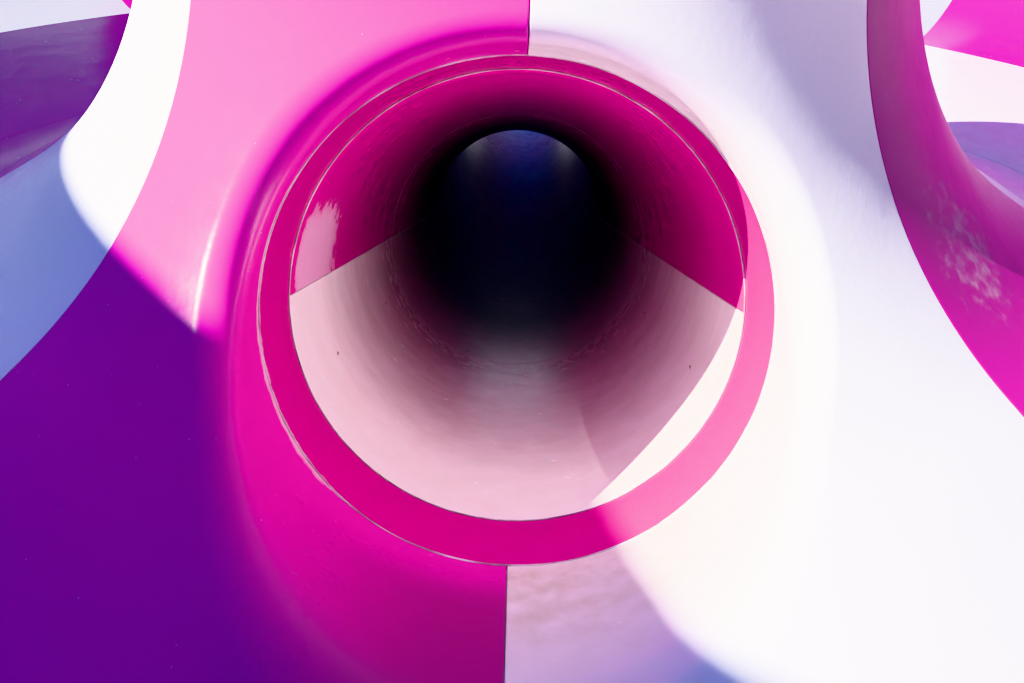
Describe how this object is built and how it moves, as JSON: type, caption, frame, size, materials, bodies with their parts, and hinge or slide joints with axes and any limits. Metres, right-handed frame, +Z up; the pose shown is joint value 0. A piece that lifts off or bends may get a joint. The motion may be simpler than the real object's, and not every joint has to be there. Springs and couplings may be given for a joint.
{
  "type": "raft bowl water slide",
  "caption": "Round raft bowl of a water slide with a hollow exit cone at its middle and a closed tube leaving through the cone's flank, on a steel frame.",
  "frame": {"origin": "on the ground at the centre of the base of the bounding box; the bowl's upright axis stands 1.14 m from it towards -Y", "axes": "+Z up; the mouth of the exit tube faces -Y and the tube runs downhill towards +Y; +X is the right-hand side of someone who looks into the mouth"},
  "size_m": [15.3534, 17.5822, 5.9123],
  "materials": {
    "magenta_gelcoat": "glossy gelcoat on glass-fibre laminate, slightly wavy, worn pale along the joints",
    "white_gelcoat": "glossy gelcoat on glass-fibre laminate, faint drip marks",
    "galvanised_steel": "hot-dip galvanised, matt"
  },
  "bodies": {
    "root": {"cone_front_right": "white_gelcoat", "cone_front_left": "magenta_gelcoat", "cone_panel_01": "magenta_gelcoat", "cone_panel_02": "white_gelcoat", "cone_panel_03": "magenta_gelcoat", "cone_panel_04": "white_gelcoat", "cone_panel_05": "magenta_gelcoat", "cone_panel_06": "white_gelcoat", "neck_cap": "white_gelcoat", "floor_panel_01": "magenta_gelcoat", "wall_panel_01": "white_gelcoat", "floor_panel_02": "white_gelcoat", "wall_panel_02": "magenta_gelcoat", "floor_panel_03": "magenta_gelcoat", "wall_panel_03": "white_gelcoat", "floor_panel_04": "white_gelcoat", "wall_panel_04": "magenta_gelcoat", "floor_panel_05": "magenta_gelcoat", "wall_panel_05": "white_gelcoat", "floor_panel_06": "white_gelcoat", "wall_panel_06": "magenta_gelcoat", "floor_panel_07": "magenta_gelcoat", "wall_panel_07": "white_gelcoat", "floor_panel_08": "white_gelcoat", "wall_panel_08": "magenta_gelcoat", "floor_panel_09": "magenta_gelcoat", "wall_panel_09": "white_gelcoat", "floor_panel_10": "white_gelcoat", "wall_panel_10": "magenta_gelcoat", "mouth_ring": "magenta_gelcoat", "tube_1_upper": "magenta_gelcoat", "tube_1_lower": "white_gelcoat", "tube_2_upper": "magenta_gelcoat", "tube_2_lower": "white_gelcoat", "tube_bend_upper": "magenta_gelcoat", "tube_bend_lower": "white_gelcoat", "tube_exit_upper": "magenta_gelcoat", "tube_exit_lower": "white_gelcoat", "outer_frame_1": "galvanised_steel", "outer_frame_2": "galvanised_steel", "outer_frame_3": "galvanised_steel", "outer_frame_4": "galvanised_steel", "outer_frame_5": "galvanised_steel", "inner_frame_1": "galvanised_steel", "inner_frame_2": "galvanised_steel", "centre_frame": "galvanised_steel", "tube_trestle_1": "galvanised_steel", "tube_trestle_2": "galvanised_steel", "tube_trestle_3": "galvanised_steel"}
  },
  "joints": []
}
